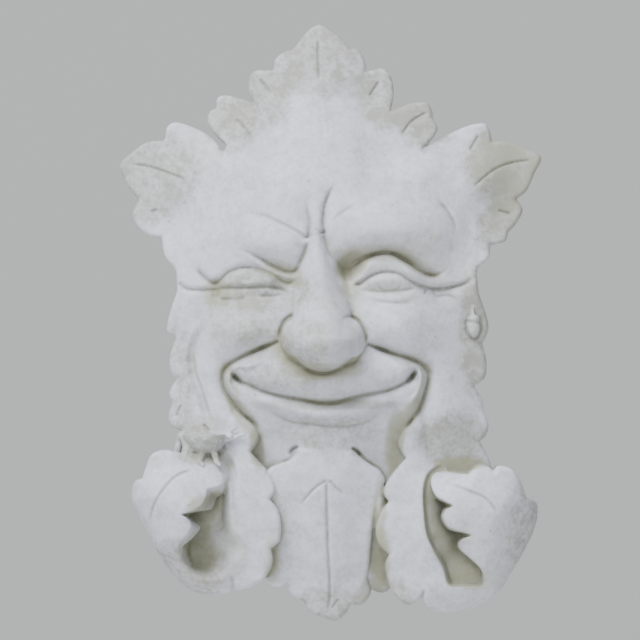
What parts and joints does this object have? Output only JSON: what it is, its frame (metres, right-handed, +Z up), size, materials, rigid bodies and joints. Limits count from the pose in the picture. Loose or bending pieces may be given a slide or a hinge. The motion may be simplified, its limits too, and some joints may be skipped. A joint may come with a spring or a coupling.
{
  "type": "green man wall mask",
  "caption": "Garden wall mask cast in pale stone: a winking, smiling foliate face with a leaf crown, a leaf beard and curled side leaves.",
  "frame": {"origin": "middle of the flat back, on the wall's surface", "axes": "+Z up towards the crown's tip, +Y into the wall, so the face looks along -Y, and +X to the right as seen from the front"},
  "size_m": [0.2399, 0.0817, 0.3398],
  "materials": {
    "cast_stone": "matt pale cast stone with an olive stain in the hollows"
  },
  "bodies": {
    "root": {"green_man_mask": "cast_stone"}
  },
  "joints": []
}
